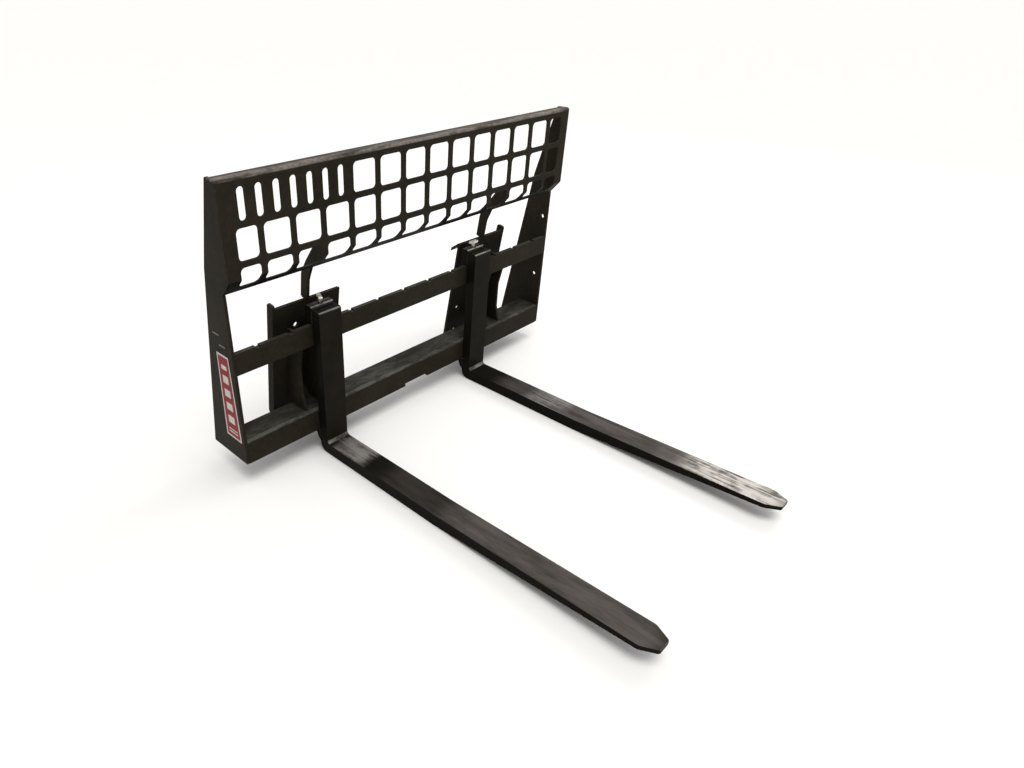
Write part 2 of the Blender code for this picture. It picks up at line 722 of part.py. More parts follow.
# --- Fork locks --------------------------------------------------------------------
def make_lock(label, x):
    """Spring plunger, parked up at rest, that drops into the bar's notch."""
    pivot = bpy.data.objects.new(f"lock_axis_{label}", None)
    pivot.location = (x, LOCK_Y, 0)
    pivot.parent = DATUM
    PARTS.objects.link(pivot)
    floor, ceiling = LOCK_CHAMBER
    tip = CARRIAGE_HEIGHT + LOCK_CLEARANCE
    collar_low = floor + LOCK_TRAVEL + LOCK_CLEARANCE
    collar_high = collar_low + LOCK_COLLAR_HEIGHT
    bush_low = ceiling + GAP
    bush_high = UPPER_HOOK_TOP_Z - BUSH_RECESS
    handle_low = LOCK_STEM_TOP_Z - 0.001 - HANDLE_HEIGHT
    pin = [
        (0, LOCK_STEM_TOP_Z),
        (LOCK_STEM_RADIUS, LOCK_STEM_TOP_Z),
        (LOCK_STEM_RADIUS, handle_low - GAP),
        (LOCK_SLEEVE_RADIUS, handle_low - GAP),
        (LOCK_SLEEVE_RADIUS, collar_high),
        (LOCK_COLLAR_RADIUS, collar_high),
        (LOCK_COLLAR_RADIUS, collar_low),
        (LOCK_PIN_RADIUS, collar_low),
        (LOCK_PIN_RADIUS, tip + LOCK_PIN_CHAMFER),
        (LOCK_PIN_RADIUS - LOCK_PIN_CHAMFER, tip),
        (0, tip),
    ]
    turned(f"lock_pin_{label}", pin, (0, 0, 0), ZINC_PLATE, parent=pivot)
    bush = [
        (BUSH_BORE_RADIUS, bush_high),
        (LOCK_CHAMBER_RADIUS + 0.0002, bush_high),
        (LOCK_CHAMBER_RADIUS + 0.0002, bush_low),
        (BUSH_BORE_RADIUS, bush_low),
    ]
    turned(f"lock_bush_{label}", bush + bush[:1], (0, 0, 0), FORK_PAINT, parent=pivot)
    make_lock_handle(label, pivot, handle_low)
    make_spring(label, pivot, collar_high + GAP, bush_low - GAP)


def make_lock_handle(label, pivot, low):
    half = HANDLE_LENGTH / 2
    side = HANDLE_WIDTH / 2
    outline = rectangle((-half, low), (half, low + HANDLE_HEIGHT), 0.005)
    handle = extruded(
        f"lock_handle_{label}", [outline], ALONG_Y, -side, side, ZINC_PLATE, parent=pivot
    )
    hole = LOCK_STEM_RADIUS + GAP
    profile = [(0, low + 0.03), (hole, low + 0.03), (hole, low - 0.02), (0, low - 0.02)]
    bore = turned(f"handle_bore_{label}", profile, (0, 0, 0), None, pivot, CUTTERS)
    cut(handle, bore)
    handle.rotation_euler = (0, 0, math.radians(HANDLE_TURN[label]))


def make_spring(label, pivot, low, high):
    """Compression spring between the pin's collar and the bush."""
    radius = (LOCK_STEM_RADIUS + LOCK_CHAMBER_RADIUS) / 2 + 0.0002
    wire = SPRING_WIRE_RADIUS
    count = SPRING_TURNS * SPRING_TURN_POINTS
    curve = bpy.data.curves.new(f"lock_spring_{label}", "CURVE")
    curve.dimensions = "3D"
    curve.bevel_depth = wire
    curve.bevel_resolution = 1
    curve.use_fill_caps = True
    spline = curve.splines.new("POLY")
    spline.points.add(count)
    for index, point in enumerate(spline.points):
        angle = 2 * math.pi * index / SPRING_TURN_POINTS
        z = low + wire + (high - low - 2 * wire) * index / count
        point.co = (radius * math.cos(angle), radius * math.sin(angle), z, 1)
    guide = bpy.data.objects.new(f"lock_spring_{label}_path", curve)
    bpy.context.scene.collection.objects.link(guide)
    finish_object(f"lock_spring_{label}", mesh_of(guide), SPRING_STEEL, parent=pivot)


clear_scene()
PARTS = new_collection("pallet_fork_attachment")
CUTTERS = new_collection("cutters")
FRAME_PAINT = paint("frame_paint", BLACK_PAINT, 0.35)
FORK_PAINT = paint("fork_paint", DARK_PAINT, 0.32)
ZINC_PLATE = paint("zinc_plate", ZINC, 0.3, 1.0)
SPRING_STEEL = paint("spring_steel", WORN_STEEL, 0.4, 1.0)
DATUM = new_datum()

make_guard()
make_side_plates()
make_upper_bar()
make_lower_bar()
make_step_plate()
make_gussets()
for frame_side in (-1, 1):
    make_coupler(frame_side)
    make_fork(frame_side)
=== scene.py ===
"""Looks of a pallet fork attachment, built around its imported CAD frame.

The CAD nodes keep their shapes. They get softened edges and painted, worn or plated
materials. This script adds what the CAD leaves out: the weld beads, a plain side label
with two strips of tape, and the studio with its camera. What is added is placed from the
frame's own boxes.
Axes: +X to the right of someone facing the guard, forks towards -Y, +Z up; metres.
"""

import json
import math
import random

import bpy
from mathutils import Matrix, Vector


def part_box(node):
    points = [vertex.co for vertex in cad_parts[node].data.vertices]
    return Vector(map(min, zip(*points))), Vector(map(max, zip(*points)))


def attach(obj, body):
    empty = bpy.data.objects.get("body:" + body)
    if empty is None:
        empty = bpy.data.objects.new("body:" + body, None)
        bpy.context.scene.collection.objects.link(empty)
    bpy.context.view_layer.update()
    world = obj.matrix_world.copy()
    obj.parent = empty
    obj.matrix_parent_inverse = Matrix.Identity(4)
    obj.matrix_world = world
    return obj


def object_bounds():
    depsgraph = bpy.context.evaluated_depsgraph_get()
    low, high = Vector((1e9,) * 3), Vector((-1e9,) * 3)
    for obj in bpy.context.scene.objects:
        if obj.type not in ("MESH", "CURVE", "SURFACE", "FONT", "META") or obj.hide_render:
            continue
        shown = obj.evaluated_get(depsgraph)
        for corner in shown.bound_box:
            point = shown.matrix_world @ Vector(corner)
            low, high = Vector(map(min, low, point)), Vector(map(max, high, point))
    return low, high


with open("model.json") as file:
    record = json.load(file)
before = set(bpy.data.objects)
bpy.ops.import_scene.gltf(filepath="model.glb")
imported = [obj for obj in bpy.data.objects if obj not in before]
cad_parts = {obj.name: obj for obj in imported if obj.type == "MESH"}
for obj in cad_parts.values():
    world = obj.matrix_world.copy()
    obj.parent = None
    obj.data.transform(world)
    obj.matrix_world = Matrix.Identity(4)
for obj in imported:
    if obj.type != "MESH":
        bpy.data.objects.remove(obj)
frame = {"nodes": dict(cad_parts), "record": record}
cad_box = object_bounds()

MILLIMETRE = 0.001

# --- Looks that several materials share ---------------------------------------------
BLACK_ENAMEL = (0.0048, 0.0046, 0.0036)
FORK_ENAMEL = (0.0030, 0.0029, 0.0022)
DUST = (0.120, 0.098, 0.066)
# the grey of rubbed paint, also used as a painted sheen on the blades and the guard's top
RUB_AND_SHEEN_GREY = (0.105, 0.094, 0.086)
RUST = (0.060, 0.030, 0.016)
RUST_STAIN = (0.105, 0.062, 0.040)
# the grey of scuffs on faces that look up, which also serves as a painted top light
SCUFF_AND_TOP_LIGHT_GREY = (0.085, 0.085, 0.074)
# bare steel, also used to paint highlights on the heel bend and on the guard's top
BARE_STEEL_AND_HIGHLIGHT = (0.30, 0.285, 0.27)
ZINC = (0.66, 0.64, 0.59)
DULL_ZINC = (0.46, 0.44, 0.38)
ZINC_STAIN = (0.30, 0.25, 0.17)
SPRING_DARK = (0.11, 0.105, 0.10)
SPRING_BRIGHT = (0.20, 0.19, 0.175)
FRAME_SPECULAR = 0.022
FORK_SPECULAR = 0.022
SIDE_FILM = 0.135                     # share of dust on upright faces
TOP_SCUFF_AND_LIGHT = 0.42                       # share of scuffs and painted top light on faces that look up
LABEL_RED = (0.26, 0.014, 0.018)
LABEL_WHITE = (0.62, 0.59, 0.55)
TAPE_GREY = (0.17, 0.16, 0.14)
VINYL_SCUFF = (0.12, 0.11, 0.10)
RUBBED_EDGE = 1.6 * MILLIMETRE
LOWER_BAR_TOP_HIGHLIGHT = 2.6                  # its top gets this many times as much painted top light and scuffs: a painted highlight along its rounded top

# --- Wear and painted highlights on the guard's top flange --------------------------
FLANGE_DEPTH = 0.0352                 # from the guard's front to the flange's back edge
FLANGE_ZONE = 0.012                   # worn and painted with highlights this far down from the guard's top

# --- Wear and painted sheen along the blades ----------------------------------------
HEEL_BEFORE_BAR = 0.040               # wear is placed from here, in front of the lower bar
PAST_TIP = 1.30
HEEL_BEND_HIGHLIGHT = [(-0.06, 0.05, 1.0)]      # (start, end, amount), as for the blades' stretches: a painted highlight on the heel bend
FORK_SHEEN_AND_WEAR = {                         # the polished stretches, painted as a grey sheen standing in for reflected light, and the scraped stretches of each blade
    "left": (
        [(-0.10, 0.00, 0.5), (0.04, 0.22, 0.65), (0.24, PAST_TIP, 0.22), (0.50, PAST_TIP, 0.46)],
        [(0.04, 0.22, 1.0)],
    ),
    "right": (
        [(-0.10, 0.00, 0.4), (0.13, PAST_TIP, 0.42), (0.30, PAST_TIP, 0.30), (0.80, PAST_TIP, 0.50)],
        [(0.28, 0.50, 0.65), (0.88, PAST_TIP, 1.0)],
    ),
}

# --- Softened edges, by kind of piece -----------------------------------------------
PLATE_EDGE = 1.0 * MILLIMETRE
FORK_EDGE = 3.0 * MILLIMETRE
SMALL_EDGE = 0.4 * MILLIMETRE
WIRE_EDGE = 0.1 * MILLIMETRE
EDGE_SEGMENTS = 2
WELD_DISTANCE = 0.01 * MILLIMETRE
EDGE_ANGLE = math.radians(30)
FLAT_ANGLE = math.radians(0.2)

# --- Weld beads ---------------------------------------------------------------------
BEAD_RADIUS = 3.2 * MILLIMETRE
BEAD_STEP = 2.0 * MILLIMETRE          # spacing of a bead's rings
BEAD_RIPPLE = 5.0 * MILLIMETRE        # spacing of the ripples along a bead
BEAD_SIDES = 10
BEAD_SET_BACK = 2.0 * MILLIMETRE      # behind the front edge that a bead runs along
GUSSET_BEAD_END = 22.0 * MILLIMETRE   # behind the web's front
PLATE_BEAD = BEAD_RADIUS * 0.8
HOOK_BEAD = BEAD_RADIUS * 0.75
SEAM_GAP = 0.15 * MILLIMETRE          # half the gap between a shank and its hook
HOOK_TOP_GAP = 0.003                  # metres left free at each end of a bead
STEP_PLATE_GAPS = (0.006, 0.004)      # front and back
RIB_GAPS = (0.012, 0.006)
UPPER_BACK_GAPS = (0.004, 0.004)      # foot and top, from here on
UPPER_FRONT_GAPS = (0.006, 0.006)
LOWER_FRONT_GAPS = (0.010, 0.012)
UPPER_HOOK_GAPS = (0.016, 0.004)
LOWER_HOOK_GAPS = (0.006, 0.018)

# --- Label and tape, on the outer face of the left side plate -----------------------
LABEL_CORNER = 2.0 * MILLIMETRE
LABEL_FOOT = 0.0745                   # above the side plate's bottom edge
LABEL_TOP = 0.3775
LABEL_FRONT = (0.016, 0.025)          # behind the lower bar's front, at the foot and the top
LABEL_BACK = (0.101, 0.088)
LABEL_BASE = ((0.0, 1.0), (0.0, 1.0))             # shares of the label's width and height
LABEL_FIELD = ((0.08, 0.92), (0.022, 0.978))
LABEL_BARS = (
    ((0.20, 0.80), (0.065, 0.080)),
    ((0.20, 0.80), (0.100, 0.115)),
    ((0.28, 0.72), (0.190, 0.280)),
    ((0.28, 0.72), (0.350, 0.440)),
    ((0.28, 0.72), (0.510, 0.600)),
    ((0.28, 0.72), (0.670, 0.760)),
    ((0.28, 0.72), (0.830, 0.880)),
)
BASE_THICKNESS = 0.2 * MILLIMETRE
FIELD_THICKNESS = 0.35 * MILLIMETRE
BAR_THICKNESS = 0.5 * MILLIMETRE
TAPE_PLACES = {"upper": (0.076, 0.440), "lower": (0.049, 0.4075)}
TAPE_SIZE = (0.034, 0.005)
TAPE_THICKNESS = 0.2 * MILLIMETRE

# --- Studio -------------------------------------------------------------------------
FLOOR_COLOUR = (0.86, 0.86, 0.855)
FLOOR_REACH = 60.0
FLOOR_GAP = 0.5 * MILLIMETRE          # below the lowest point of the CAD
SKY_COLOUR = (1.0, 0.99, 0.972, 1.0)
SKY_STRENGTH = 0.64
SUN_COLOUR = (1.0, 0.985, 0.955)
SUN_STRENGTH = 1.75
SUN_SPREAD = math.radians(40)
SUN_TILT = (math.radians(14), math.radians(-4), 0)
PANEL_COLOUR = (1.0, 0.97, 0.94)
PANEL_POWER = 60
PANEL_SIZE = (2.6, 2.0)
PANEL_PLACE = Vector((4.0, 0.1, 2.9))
PANEL_TARGET = Vector((0.2, -0.2, 0.2))

# --- Camera, fitted to the object's own perspective ---------------------------------
CAMERA_FROM_CARRIAGE = Vector((-1.6159, -1.5894, 1.3369))
CAMERA_DOWN = math.radians(31.9655)
CAMERA_TURN = math.radians(-43.9487)
CAMERA_LENS = 24.04                   # mm, as is the sensor's width
CAMERA_SENSOR = 36.0
CAMERA_SHIFT = (0.1085, 0.0135)

rng = random.Random(7)


# --- Node trees ---------------------------------------------------------------------
class Shading:
    """A material's node tree, with short calls for the nodes used here."""

    def __init__(self, name, roughness=0.4, metallic=0.0, specular=0.5):
        self.material = bpy.data.materials.new(name)
        self.material.use_nodes = True
        self.tree = self.material.node_tree
        self.shader = self.tree.nodes["Principled BSDF"]
        self.shader.inputs["Roughness"].default_value = roughness
        self.shader.inputs["Metallic"].default_value = metallic
        self.shader.inputs["Specular IOR Level"].default_value = specular
        place = self.node("ShaderNodeTexCoord")
        self.position = place.outputs["Object"]
        self.normal = place.outputs["Normal"]

    def node(self, kind, **settings):
        made = self.tree.nodes.new(kind)
        for key, value in settings.items():
            setattr(made, key, value)
        return made

    def feed(self, socket, value):
        """Links an output to an input, or sets the input to a number."""
        if isinstance(value, bpy.types.NodeSocket):
            self.tree.links.new(value, socket)
        else:
            socket.default_value = value

    def maths(self, operation, a, b=0.0):
        made = self.node("ShaderNodeMath", operation=operation)
        self.feed(made.inputs[0], a)
        self.feed(made.inputs[1], b)
        return made.outputs[0]

    def step(self, value, low, high):
        """0 below low, 1 above high, and smooth in between."""
        made = self.node("ShaderNodeMapRange", interpolation_type="SMOOTHSTEP")
        self.feed(made.inputs["Value"], value)
        made.inputs["From Min"].default_value = low
        made.inputs["From Max"].default_value = high
        return made.outputs["Result"]

    def noise(self, scale, detail=4.0, roughness=0.55, stretch=(1, 1, 1)):
        place = self.node("ShaderNodeVectorMath", operation="MULTIPLY")
        self.feed(place.inputs[0], self.position)
        place.inputs[1].default_value = stretch
        made = self.node("ShaderNodeTexNoise")
        self.feed(made.inputs["Vector"], place.outputs[0])
        made.inputs["Scale"].default_value = scale
        made.inputs["Detail"].default_value = detail
        made.inputs["Roughness"].default_value = roughness
        return made.outputs[0]

    def part_of(self, vector, axis):
        made = self.node("ShaderNodeSeparateXYZ")
        self.feed(made.inputs[0], vector)
        return made.outputs[axis]

    def blend(self, share, a, b):
        """Colour a where share is 0 and b where it is 1."""
        made = self.node("ShaderNodeMix", data_type="RGBA")
        self.feed(made.inputs["Factor"], share)
        for socket, value in ((made.inputs[6], a), (made.inputs[7], b)):
            self.feed(socket, (*value, 1.0) if isinstance(value, tuple) else value)
        return made.outputs[2]

    def lerp(self, share, a, b):
        made = self.node("ShaderNodeMix", data_type="FLOAT")
        self.feed(made.inputs[0], share)
        self.feed(made.inputs[2], a)
        self.feed(made.inputs[3], b)
        return made.outputs[0]

    def edges(self, radius):
        """1 on sharp edges, falling to 0 within about radius of them."""
        rounded = self.node("ShaderNodeBevel", samples=4)
        rounded.inputs["Radius"].default_value = radius
        flat = self.node("ShaderNodeNewGeometry")
        dot = self.node("ShaderNodeVectorMath", operation="DOT_PRODUCT")
        self.feed(dot.inputs[0], rounded.outputs["Normal"])
        self.feed(dot.inputs[1], flat.outputs["Normal"])
        return self.maths("SUBTRACT", 1.0, dot.outputs["Value"])

    def set(self, name, value):
        self.feed(self.shader.inputs[name], value)

    def bump(self, height, strength, distance):
        made = self.node("ShaderNodeBump")
        made.inputs["Strength"].default_value = strength
        made.inputs["Distance"].default_value = distance
        self.feed(made.inputs["Height"], height)
        self.set("Normal", made.outputs["Normal"])


def orange_peel(shading, strength=0.25):
    """Fine sprayed texture over slow waves."""
    fine = shading.noise(420.0, 2.0)
    broad = shading.noise(60.0, 3.0)
    height = shading.maths("ADD", fine, shading.maths("MULTIPLY", broad, 1.6))
    shading.bump(height, strength, 0.25 * MILLIMETRE)


def make_enamel(name, dust=1.0, chips=0.35, top_scuff_and_light_scale=1.0, flange=None):
    """Black enamel: a dusty film, scuffs and a painted top light on what faces up, rubbed edges and small
    chips.

    flange is (Y of its back edge, Z above which it is rubbed and painted with highlights), on the guard
    only.
    """
    shading = Shading(name, specular=FRAME_SPECULAR)
    cloud = shading.noise(4.0, 5.0, 0.6)
    grime = shading.noise(60.0, 7.0, 0.7)
    facing_up = shading.part_of(shading.normal, 2)
    side = shading.maths("MULTIPLY", shading.step(facing_up, -0.6, 0.0), SIDE_FILM)
    # Faces that look up are painted lighter: partly scuffs, partly a painted top light standing in for
    # light from above.
    top = shading.maths("MULTIPLY", shading.step(facing_up, 0.15, 0.9), TOP_SCUFF_AND_LIGHT)
    uneven = shading.step(cloud, 0.30, 0.70)
    film = shading.maths("MULTIPLY", side, shading.lerp(uneven, 0.75, 1.25))
    film = shading.maths("MULTIPLY", film, shading.lerp(grime, 0.3, 1.7))
    painted = shading.blend(shading.maths("MULTIPLY", film, dust), BLACK_ENAMEL, DUST)
    scuffs = shading.noise(34.0, 7.0, 0.75, (0.35, 1.0, 1.0))
    scuff_and_top_light = shading.lerp(shading.step(scuffs, 0.40, 0.62), 0.30, 1.35)
    scuff_and_top_light = shading.maths("MULTIPLY", scuff_and_top_light, shading.lerp(uneven, 0.45, 1.45))
    # The two factors here scale the painted top light together with its scuffs.
    top = shading.maths("MULTIPLY", top, dust * top_scuff_and_light_scale)
    scuff_and_top_light = shading.maths("MULTIPLY", scuff_and_top_light, top)
    painted = shading.blend(shading.maths("MINIMUM", scuff_and_top_light, 1.0), painted, SCUFF_AND_TOP_LIGHT_GREY)

    rubbed = shading.step(shading.edges(RUBBED_EDGE), 0.02, 0.20)
    patchy = shading.step(shading.noise(55.0, 5.0, 0.7), 0.48, 0.66)
    rubbed = shading.maths("MULTIPLY", shading.maths("MULTIPLY", rubbed, patchy), chips)
    # On the guard, the flange gets painted highlight streaks and a painted lighter top, besides its rub
    # wear and rusty back edge.
    if flange:
        painted, rubbed = wear_and_highlight_flange(shading, painted, rubbed, *flange)
    worn = shading.blend(shading.noise(90.0, 3.0), RUST, BARE_STEEL_AND_HIGHLIGHT)
    shading.set("Base Color", shading.blend(rubbed, painted, worn))

    smear = shading.noise(9.0, 6.0, 0.7, (1.0, 1.0, 0.25))
    gloss = shading.lerp(smear, 0.26, 0.50)
    shading.set("Roughness", shading.lerp(shading.maths("MINIMUM", film, 1.0), gloss, 0.8))
    orange_peel(shading)
    return shading.material


def wear_and_highlight_flange(shading, painted, rubbed, back_y, rubbed_z):
    """The guard's top: streaks rubbed along it, painted highlight streaks and a painted lighter top for
    the light on its front bend, and a rusty line at its back edge.
    """
    top = shading.step(shading.part_of(shading.position, 2), rubbed_z, rubbed_z + 0.004)
    streak = shading.noise(46.0, 6.0, 0.7, (0.12, 1.0, 1.0))
    scuff = shading.noise(20.0, 4.0, 0.6, (0.4, 1.0, 1.0))
    y = shading.part_of(shading.position, 1)
    front = shading.maths("SUBTRACT", 1.0, shading.step(y, back_y - 0.024, back_y - 0.010))
    torn = shading.maths("ADD", streak, shading.maths("MULTIPLY", scuff, 0.5))
    torn = shading.step(torn, 0.58, 0.86)
    # These bare streaks, strongest towards the front, are partly rub wear and partly a painted highlight.
    bare = shading.maths("MULTIPLY", shading.maths("MULTIPLY", top, torn), shading.lerp(front, 0.15, 1.0))
    rusty = shading.maths("MULTIPLY", top, shading.step(y, back_y - 0.007, back_y - 0.002))
    rusty = shading.maths("MULTIPLY", rusty, shading.lerp(scuff, 0.5, 1.2))
    # A painted lighter top along the flange, standing in for light falling on it.
    painted = shading.blend(shading.maths("MULTIPLY", top, 0.20), painted, RUB_AND_SHEEN_GREY)
    painted = shading.blend(rusty, painted, RUST_STAIN)
    return painted, shading.maths("MINIMUM", shading.maths("ADD", rubbed, bare), 1.0)


def along_blade(shading, heel_y, stretches):
    """Wear along a blade: (start, end, amount) from the heel, in metres, added up."""
    from_heel = shading.maths("SUBTRACT", heel_y, shading.part_of(shading.position, 1))
    ragged = shading.maths("MULTIPLY", shading.noise(14.0, 4.0), 0.06)
    from_heel = shading.maths("ADD", from_heel, ragged)
    total = 0.0
    for start, end, amount in stretches:
        ease = min(0.10, (end - start) / 3)
        rise = shading.step(from_heel, start, start + ease)
        fall = shading.step(from_heel, end - ease, end)
        inside = shading.maths("MULTIPLY", rise, shading.maths("SUBTRACT", 1.0, fall))
        total = shading.maths("ADD", total, shading.maths("MULTIPLY", inside, amount))
    return total


def make_fork_enamel(name, heel_y, polished, scraped):
    """Fork enamel: a polished grey film on top that is a painted sheen, scraped bare metal on top, worn
    rims, and a bend painted bare as its highlight.

    polished and scraped are stretches along the blade, as along_blade takes them.
    """
    shading = Shading(name, specular=FORK_SPECULAR)
    facing_up = shading.part_of(shading.normal, 2)
    up = shading.step(facing_up, 0.45, 0.85)
    grain = shading.noise(26.0, 6.0, 0.65, (1.0, 0.16, 1.0))
    scratch = shading.noise(120.0, 4.0, 0.7, (1.0, 0.05, 1.0))
    patch = shading.noise(17.0, 5.0, 0.6)

    # The polished film is a painted sheen: a grey standing in for reflected overhead light, along with
    # rub wear.
    film = along_blade(shading, heel_y, polished)
    film = shading.maths("MULTIPLY", film, shading.lerp(shading.step(grain, 0.30, 0.68), 0.45, 1.25))
    film = shading.maths("MULTIPLY", film, up)

    bare = along_blade(shading, heel_y, scraped)
    torn = shading.maths("ADD", shading.maths("MULTIPLY", patch, 0.6), scratch)
    bare = shading.maths("MULTIPLY", bare, shading.step(torn, 0.62, 0.90))
    bare = shading.maths("MULTIPLY", bare, up)

    rim = shading.maths("SUBTRACT", 1.0, shading.step(facing_up, 0.90, 0.985))
    rim = shading.maths("MULTIPLY", rim, shading.step(facing_up, 0.25, 0.60))
    nicks = shading.step(shading.noise(30.0, 6.0, 0.7), 0.40, 0.66)
    bare = shading.maths("ADD", bare, shading.maths("MULTIPLY", rim, shading.lerp(nicks, 0.04, 0.34)))
    bare = shading.maths("MINIMUM", bare, 1.0)

    # The heel bend is painted bare and bright: a painted highlight standing in for light in its fillet,
    # drawn as bare steel.
    facing_front = shading.maths("MULTIPLY", shading.part_of(shading.normal, 1), -1.0)
    bend = shading.step(facing_front, 0.22, 0.50)
    bend = shading.maths("MULTIPLY", bend, shading.step(facing_up, 0.12, 0.40))
    bend = shading.maths("MULTIPLY", bend, along_blade(shading, heel_y, HEEL_BEND_HIGHLIGHT))
    bend = shading.maths("MULTIPLY", bend, shading.lerp(shading.step(torn, 0.55, 0.85), 0.35, 1.0))
    bare = shading.maths("MAXIMUM", bare, shading.maths("MULTIPLY", bend, 0.85))
    dusty = shading.lerp(shading.step(facing_front, 0.1, 0.8), 0.035, 0.075)
    dusty = shading.maths("MULTIPLY", dusty, shading.step(facing_up, -0.5, 0.1))
    dusty = shading.maths("MULTIPLY", dusty, shading.lerp(patch, 0.3, 1.7))

    # The film's grey here is the painted sheen on the blade tops.
    rubbed = shading.blend(film, shading.blend(dusty, FORK_ENAMEL, DUST), RUB_AND_SHEEN_GREY)
    shading.set("Base Color", shading.blend(bare, rubbed, BARE_STEEL_AND_HIGHLIGHT))
    shading.set("Metallic", shading.maths("MULTIPLY", bare, 0.8))
    gloss = shading.lerp(shading.noise(11.0, 5.0, 0.7, (1.0, 0.3, 1.0)), 0.26, 0.46)
    shading.set("Roughness", shading.lerp(bare, gloss, 0.36))
    height = shading.maths("ADD", shading.noise(300.0, 2.0), shading.maths("MULTIPLY", scratch, 1.4))
    shading.bump(height, 0.22, 0.3 * MILLIMETRE)
    return shading.material


def make_zinc():
    """Pale yellowish plating with dull stains."""
    shading = Shading("zinc_plating", metallic=1.0)
    spangle = shading.noise(240.0, 4.0, 0.6)
    stain = shading.step(shading.noise(70.0, 4.0), 0.45, 0.75)
    plated = shading.blend(spangle, ZINC, DULL_ZINC)
    shading.set("Base Color", shading.blend(stain, plated, ZINC_STAIN))
    shading.set("Roughness", shading.lerp(spangle, 0.26, 0.46))
    shading.bump(spangle, 0.2, 0.1 * MILLIMETRE)
    return shading.material


def make_spring_steel():
    """Dark drawn wire with a trace of oil."""
    shading = Shading("oiled_spring_steel", metallic=1.0)
    drawn = shading.noise(500.0, 3.0)
    shading.set("Base Color", shading.blend(drawn, SPRING_DARK, SPRING_BRIGHT))
    shading.set("Roughness", shading.lerp(drawn, 0.3, 0.5))
    shading.bump(drawn, 0.15, 0.05 * MILLIMETRE)
    return shading.material


def make_vinyl(name, colour):
    """Printed vinyl: faded, scuffed and slightly soiled."""
    shading = Shading(name, specular=0.12)
    faded = shading.noise(45.0, 5.0, 0.6)
    scuffed = shading.step(shading.noise(130.0, 6.0, 0.75, (1.0, 1.0, 0.3)), 0.60, 0.72)
    soiled = tuple(channel * 0.62 for channel in colour)
    printed = shading.blend(faded, colour, soiled)
    shading.set("Base Color", shading.blend(scuffed, printed, VINYL_SCUFF))
    shading.set("Roughness", shading.lerp(faded, 0.38, 0.6))
    shading.bump(faded, 0.12, 0.1 * MILLIMETRE)
    return shading.material


def make_floor_material():
    shading = Shading("studio_floor", roughness=0.75, specular=0.1)
    speck = shading.noise(3.0, 5.0)
    paler = tuple(channel * 1.02 for channel in FLOOR_COLOUR)
    shading.set("Base Color", shading.blend(speck, FLOOR_COLOUR, paler))
    return shading.material


# --- Softened CAD pieces ------------------------------------------------------------
def smooth_group():
    """Geometry nodes: drop the stored normals, shade smooth, keep real edges sharp."""
    group = bpy.data.node_groups.new("smooth_by_angle", "GeometryNodeTree")
    group.interface.new_socket("Geometry", in_out="INPUT", socket_type="NodeSocketGeometry")
    group.interface.new_socket("Geometry", in_out="OUTPUT", socket_type="NodeSocketGeometry")
    start = group.nodes.new("NodeGroupInput")
    end = group.nodes.new("NodeGroupOutput")
    drop = group.nodes.new("GeometryNodeRemoveAttribute")
    drop.inputs["Name"].default_value = "custom_normal"
    faces = group.nodes.new("GeometryNodeSetShadeSmooth")
    faces.domain = "FACE"
    edges = group.nodes.new("GeometryNodeSetShadeSmooth")
    edges.domain = "EDGE"
    edges.inputs["Shade Smooth"].default_value = False
    angle = group.nodes.new("GeometryNodeInputMeshEdgeAngle")
    sharp = group.nodes.new("FunctionNodeCompare")
    sharp.data_type = "FLOAT"
    sharp.operation = "GREATER_THAN"
    sharp.inputs[1].default_value = EDGE_ANGLE
    group.links.new(angle.outputs["Unsigned Angle"], sharp.inputs[0])
    group.links.new(sharp.outputs[0], edges.inputs["Selection"])
    group.links.new(start.outputs[0], drop.inputs[0])
    group.links.new(drop.outputs[0], faces.inputs[0])
    group.links.new(faces.outputs[0], edges.inputs[0])
    group.links.new(edges.outputs[0], end.inputs[0])
    return group


def soften(piece, width, group):
    """Joins the imported triangles, shades them smooth and rounds the sharp edges."""
    weld = piece.modifiers.new("weld", "WELD")
    weld.merge_threshold = WELD_DISTANCE
    flat = piece.modifiers.new("flat", "DECIMATE")
    flat.decimate_type = "DISSOLVE"
    flat.angle_limit = FLAT_ANGLE
    shade = piece.modifiers.new("shade", "NODES")
    shade.node_group = group
    bevel = piece.modifiers.new("edges", "BEVEL")
    bevel.width = width
    bevel.segments = EDGE_SEGMENTS
    bevel.limit_method = "ANGLE"
    bevel.angle_limit = EDGE_ANGLE
    bevel.harden_normals = True
    bevel.use_clamp_overlap = True


def dress(node, material, width, group):
    """Gives a CAD node its material and its softened edges."""
    piece = frame["nodes"][node]
    piece.data.materials.clear()
    piece.data.materials.append(material)
    soften(piece, width, group)


# --- New pieces ---------------------------------------------------------------------
def add_mesh(name, vertices, faces, material, body):
    """A new piece that rides on a body and counts under a material slot."""
    mesh = bpy.data.meshes.new(name)
    mesh.from_pydata(vertices, [], faces)
    mesh.materials.append(material)
    mesh.update()
    piece = bpy.data.objects.new(name, mesh)
    bpy.context.scene.collection.objects.link(piece)
    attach(piece, body)
    return piece


